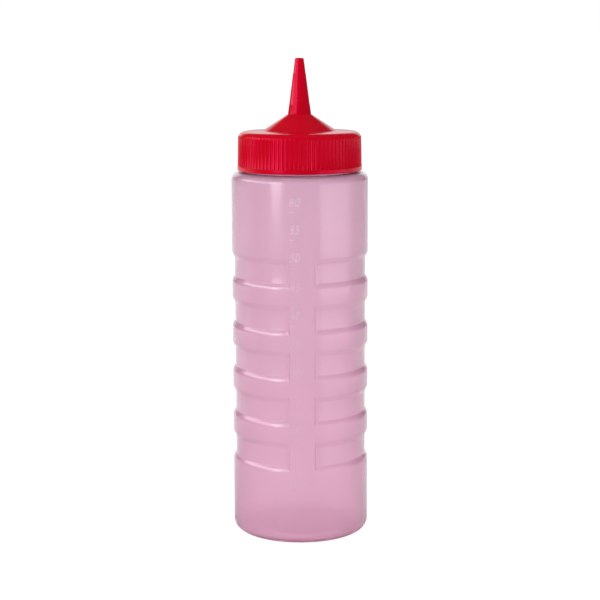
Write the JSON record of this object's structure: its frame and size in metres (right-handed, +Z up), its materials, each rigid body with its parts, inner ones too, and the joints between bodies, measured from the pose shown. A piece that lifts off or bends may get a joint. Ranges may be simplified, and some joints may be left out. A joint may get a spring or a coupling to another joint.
{
  "type": "squeeze bottle",
  "caption": "Translucent wide-mouthed squeeze bottle with recessed grip bands and a ribbed screw cap that carries a cone and a tapered nozzle.",
  "frame": {"origin": "middle of the foot ring, on the surface that the bottle stands on", "axes": "+Z up the axis to the end of the nozzle; -Y is the front, where the plain strip between the grip bands is"},
  "size_m": [0.07, 0.07, 0.2449],
  "materials": {
    "tinted_plastic": "translucent pink polyethylene, blow-moulded, soft satin gloss",
    "cap_plastic": "opaque red polyethylene, injection-moulded, glossy"
  },
  "bodies": {
    "root": {"bottle": "tinted_plastic", "cap": "cap_plastic"}
  },
  "joints": []
}
